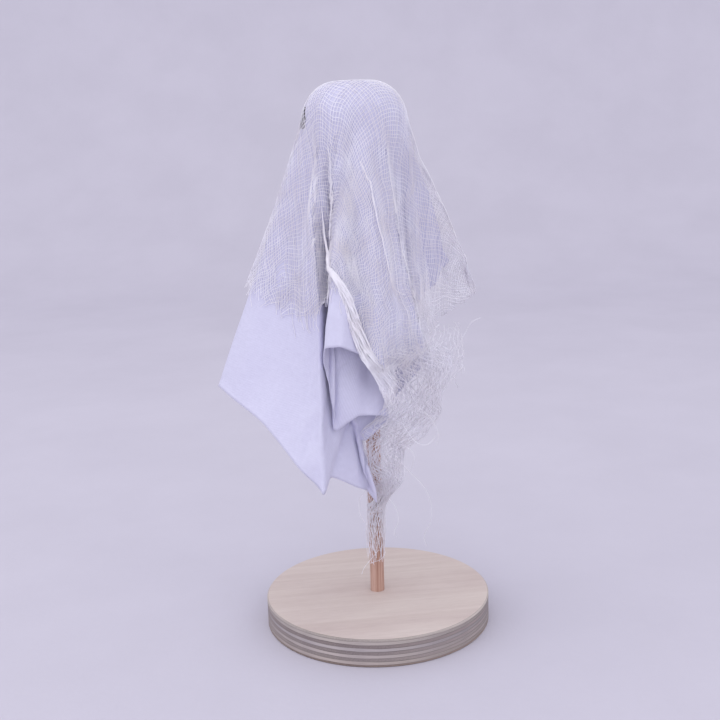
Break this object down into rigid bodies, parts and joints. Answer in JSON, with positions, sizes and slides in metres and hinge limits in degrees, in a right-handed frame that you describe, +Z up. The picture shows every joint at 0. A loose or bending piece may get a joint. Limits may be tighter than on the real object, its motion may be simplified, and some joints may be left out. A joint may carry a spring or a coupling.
{
  "type": "draped ghost table ornament",
  "caption": "Ghost ornament of draped cloth and open gauze over a hidden head form, standing on a dowel post in a round plywood foot.",
  "frame": {"origin": "middle of the foot's underside, on the surface that it stands on", "axes": "+Z up along the post, -Y towards the side that the face looks to"},
  "size_m": [0.1016, 0.1133, 0.242],
  "materials": {
    "outer_veneer": "bare sanded birch veneer, pale, fine grain",
    "cross_ply": "bare cut edge, end grain, darker",
    "long_ply": "bare cut edge, long grain, lighter",
    "dowel": "bare hardwood dowel, reddish, straight grain",
    "turned_head": "plain turned softwood, unseen",
    "sheet_cloth": "plain-woven matte cotton, bluish white",
    "gauze_cloth": "open-weave cotton gauze, cream, torn and frayed",
    "eye_felt": "black craft felt, matte"
  },
  "bodies": {
    "foot": {"face_veneer": "outer_veneer", "core_ply_1": "cross_ply", "core_ply_2": "long_ply", "core_ply_3": "cross_ply", "core_ply_4": "long_ply", "core_ply_5": "cross_ply", "core_ply_6": "long_ply", "core_ply_7": "cross_ply", "back_veneer": "outer_veneer"},
    "post": {"post": "dowel"},
    "figure": {"head_form": "turned_head", "sheet": "sheet_cloth", "gauze": "gauze_cloth", "gauze_tail": "gauze_cloth", "eye_left": "eye_felt", "eye_right": "eye_felt"}
  },
  "joints": [
    {"name": "post_lift", "type": "slide", "parent": "foot", "child": "post", "axis": [0, 0, 1], "range_m": [0, 0.02]},
    {"name": "figure_turn", "type": "hinge", "parent": "post", "child": "figure", "pos_m": [0, 0, 0.229], "axis": [0, 0, 1], "continuous": true}
  ]
}
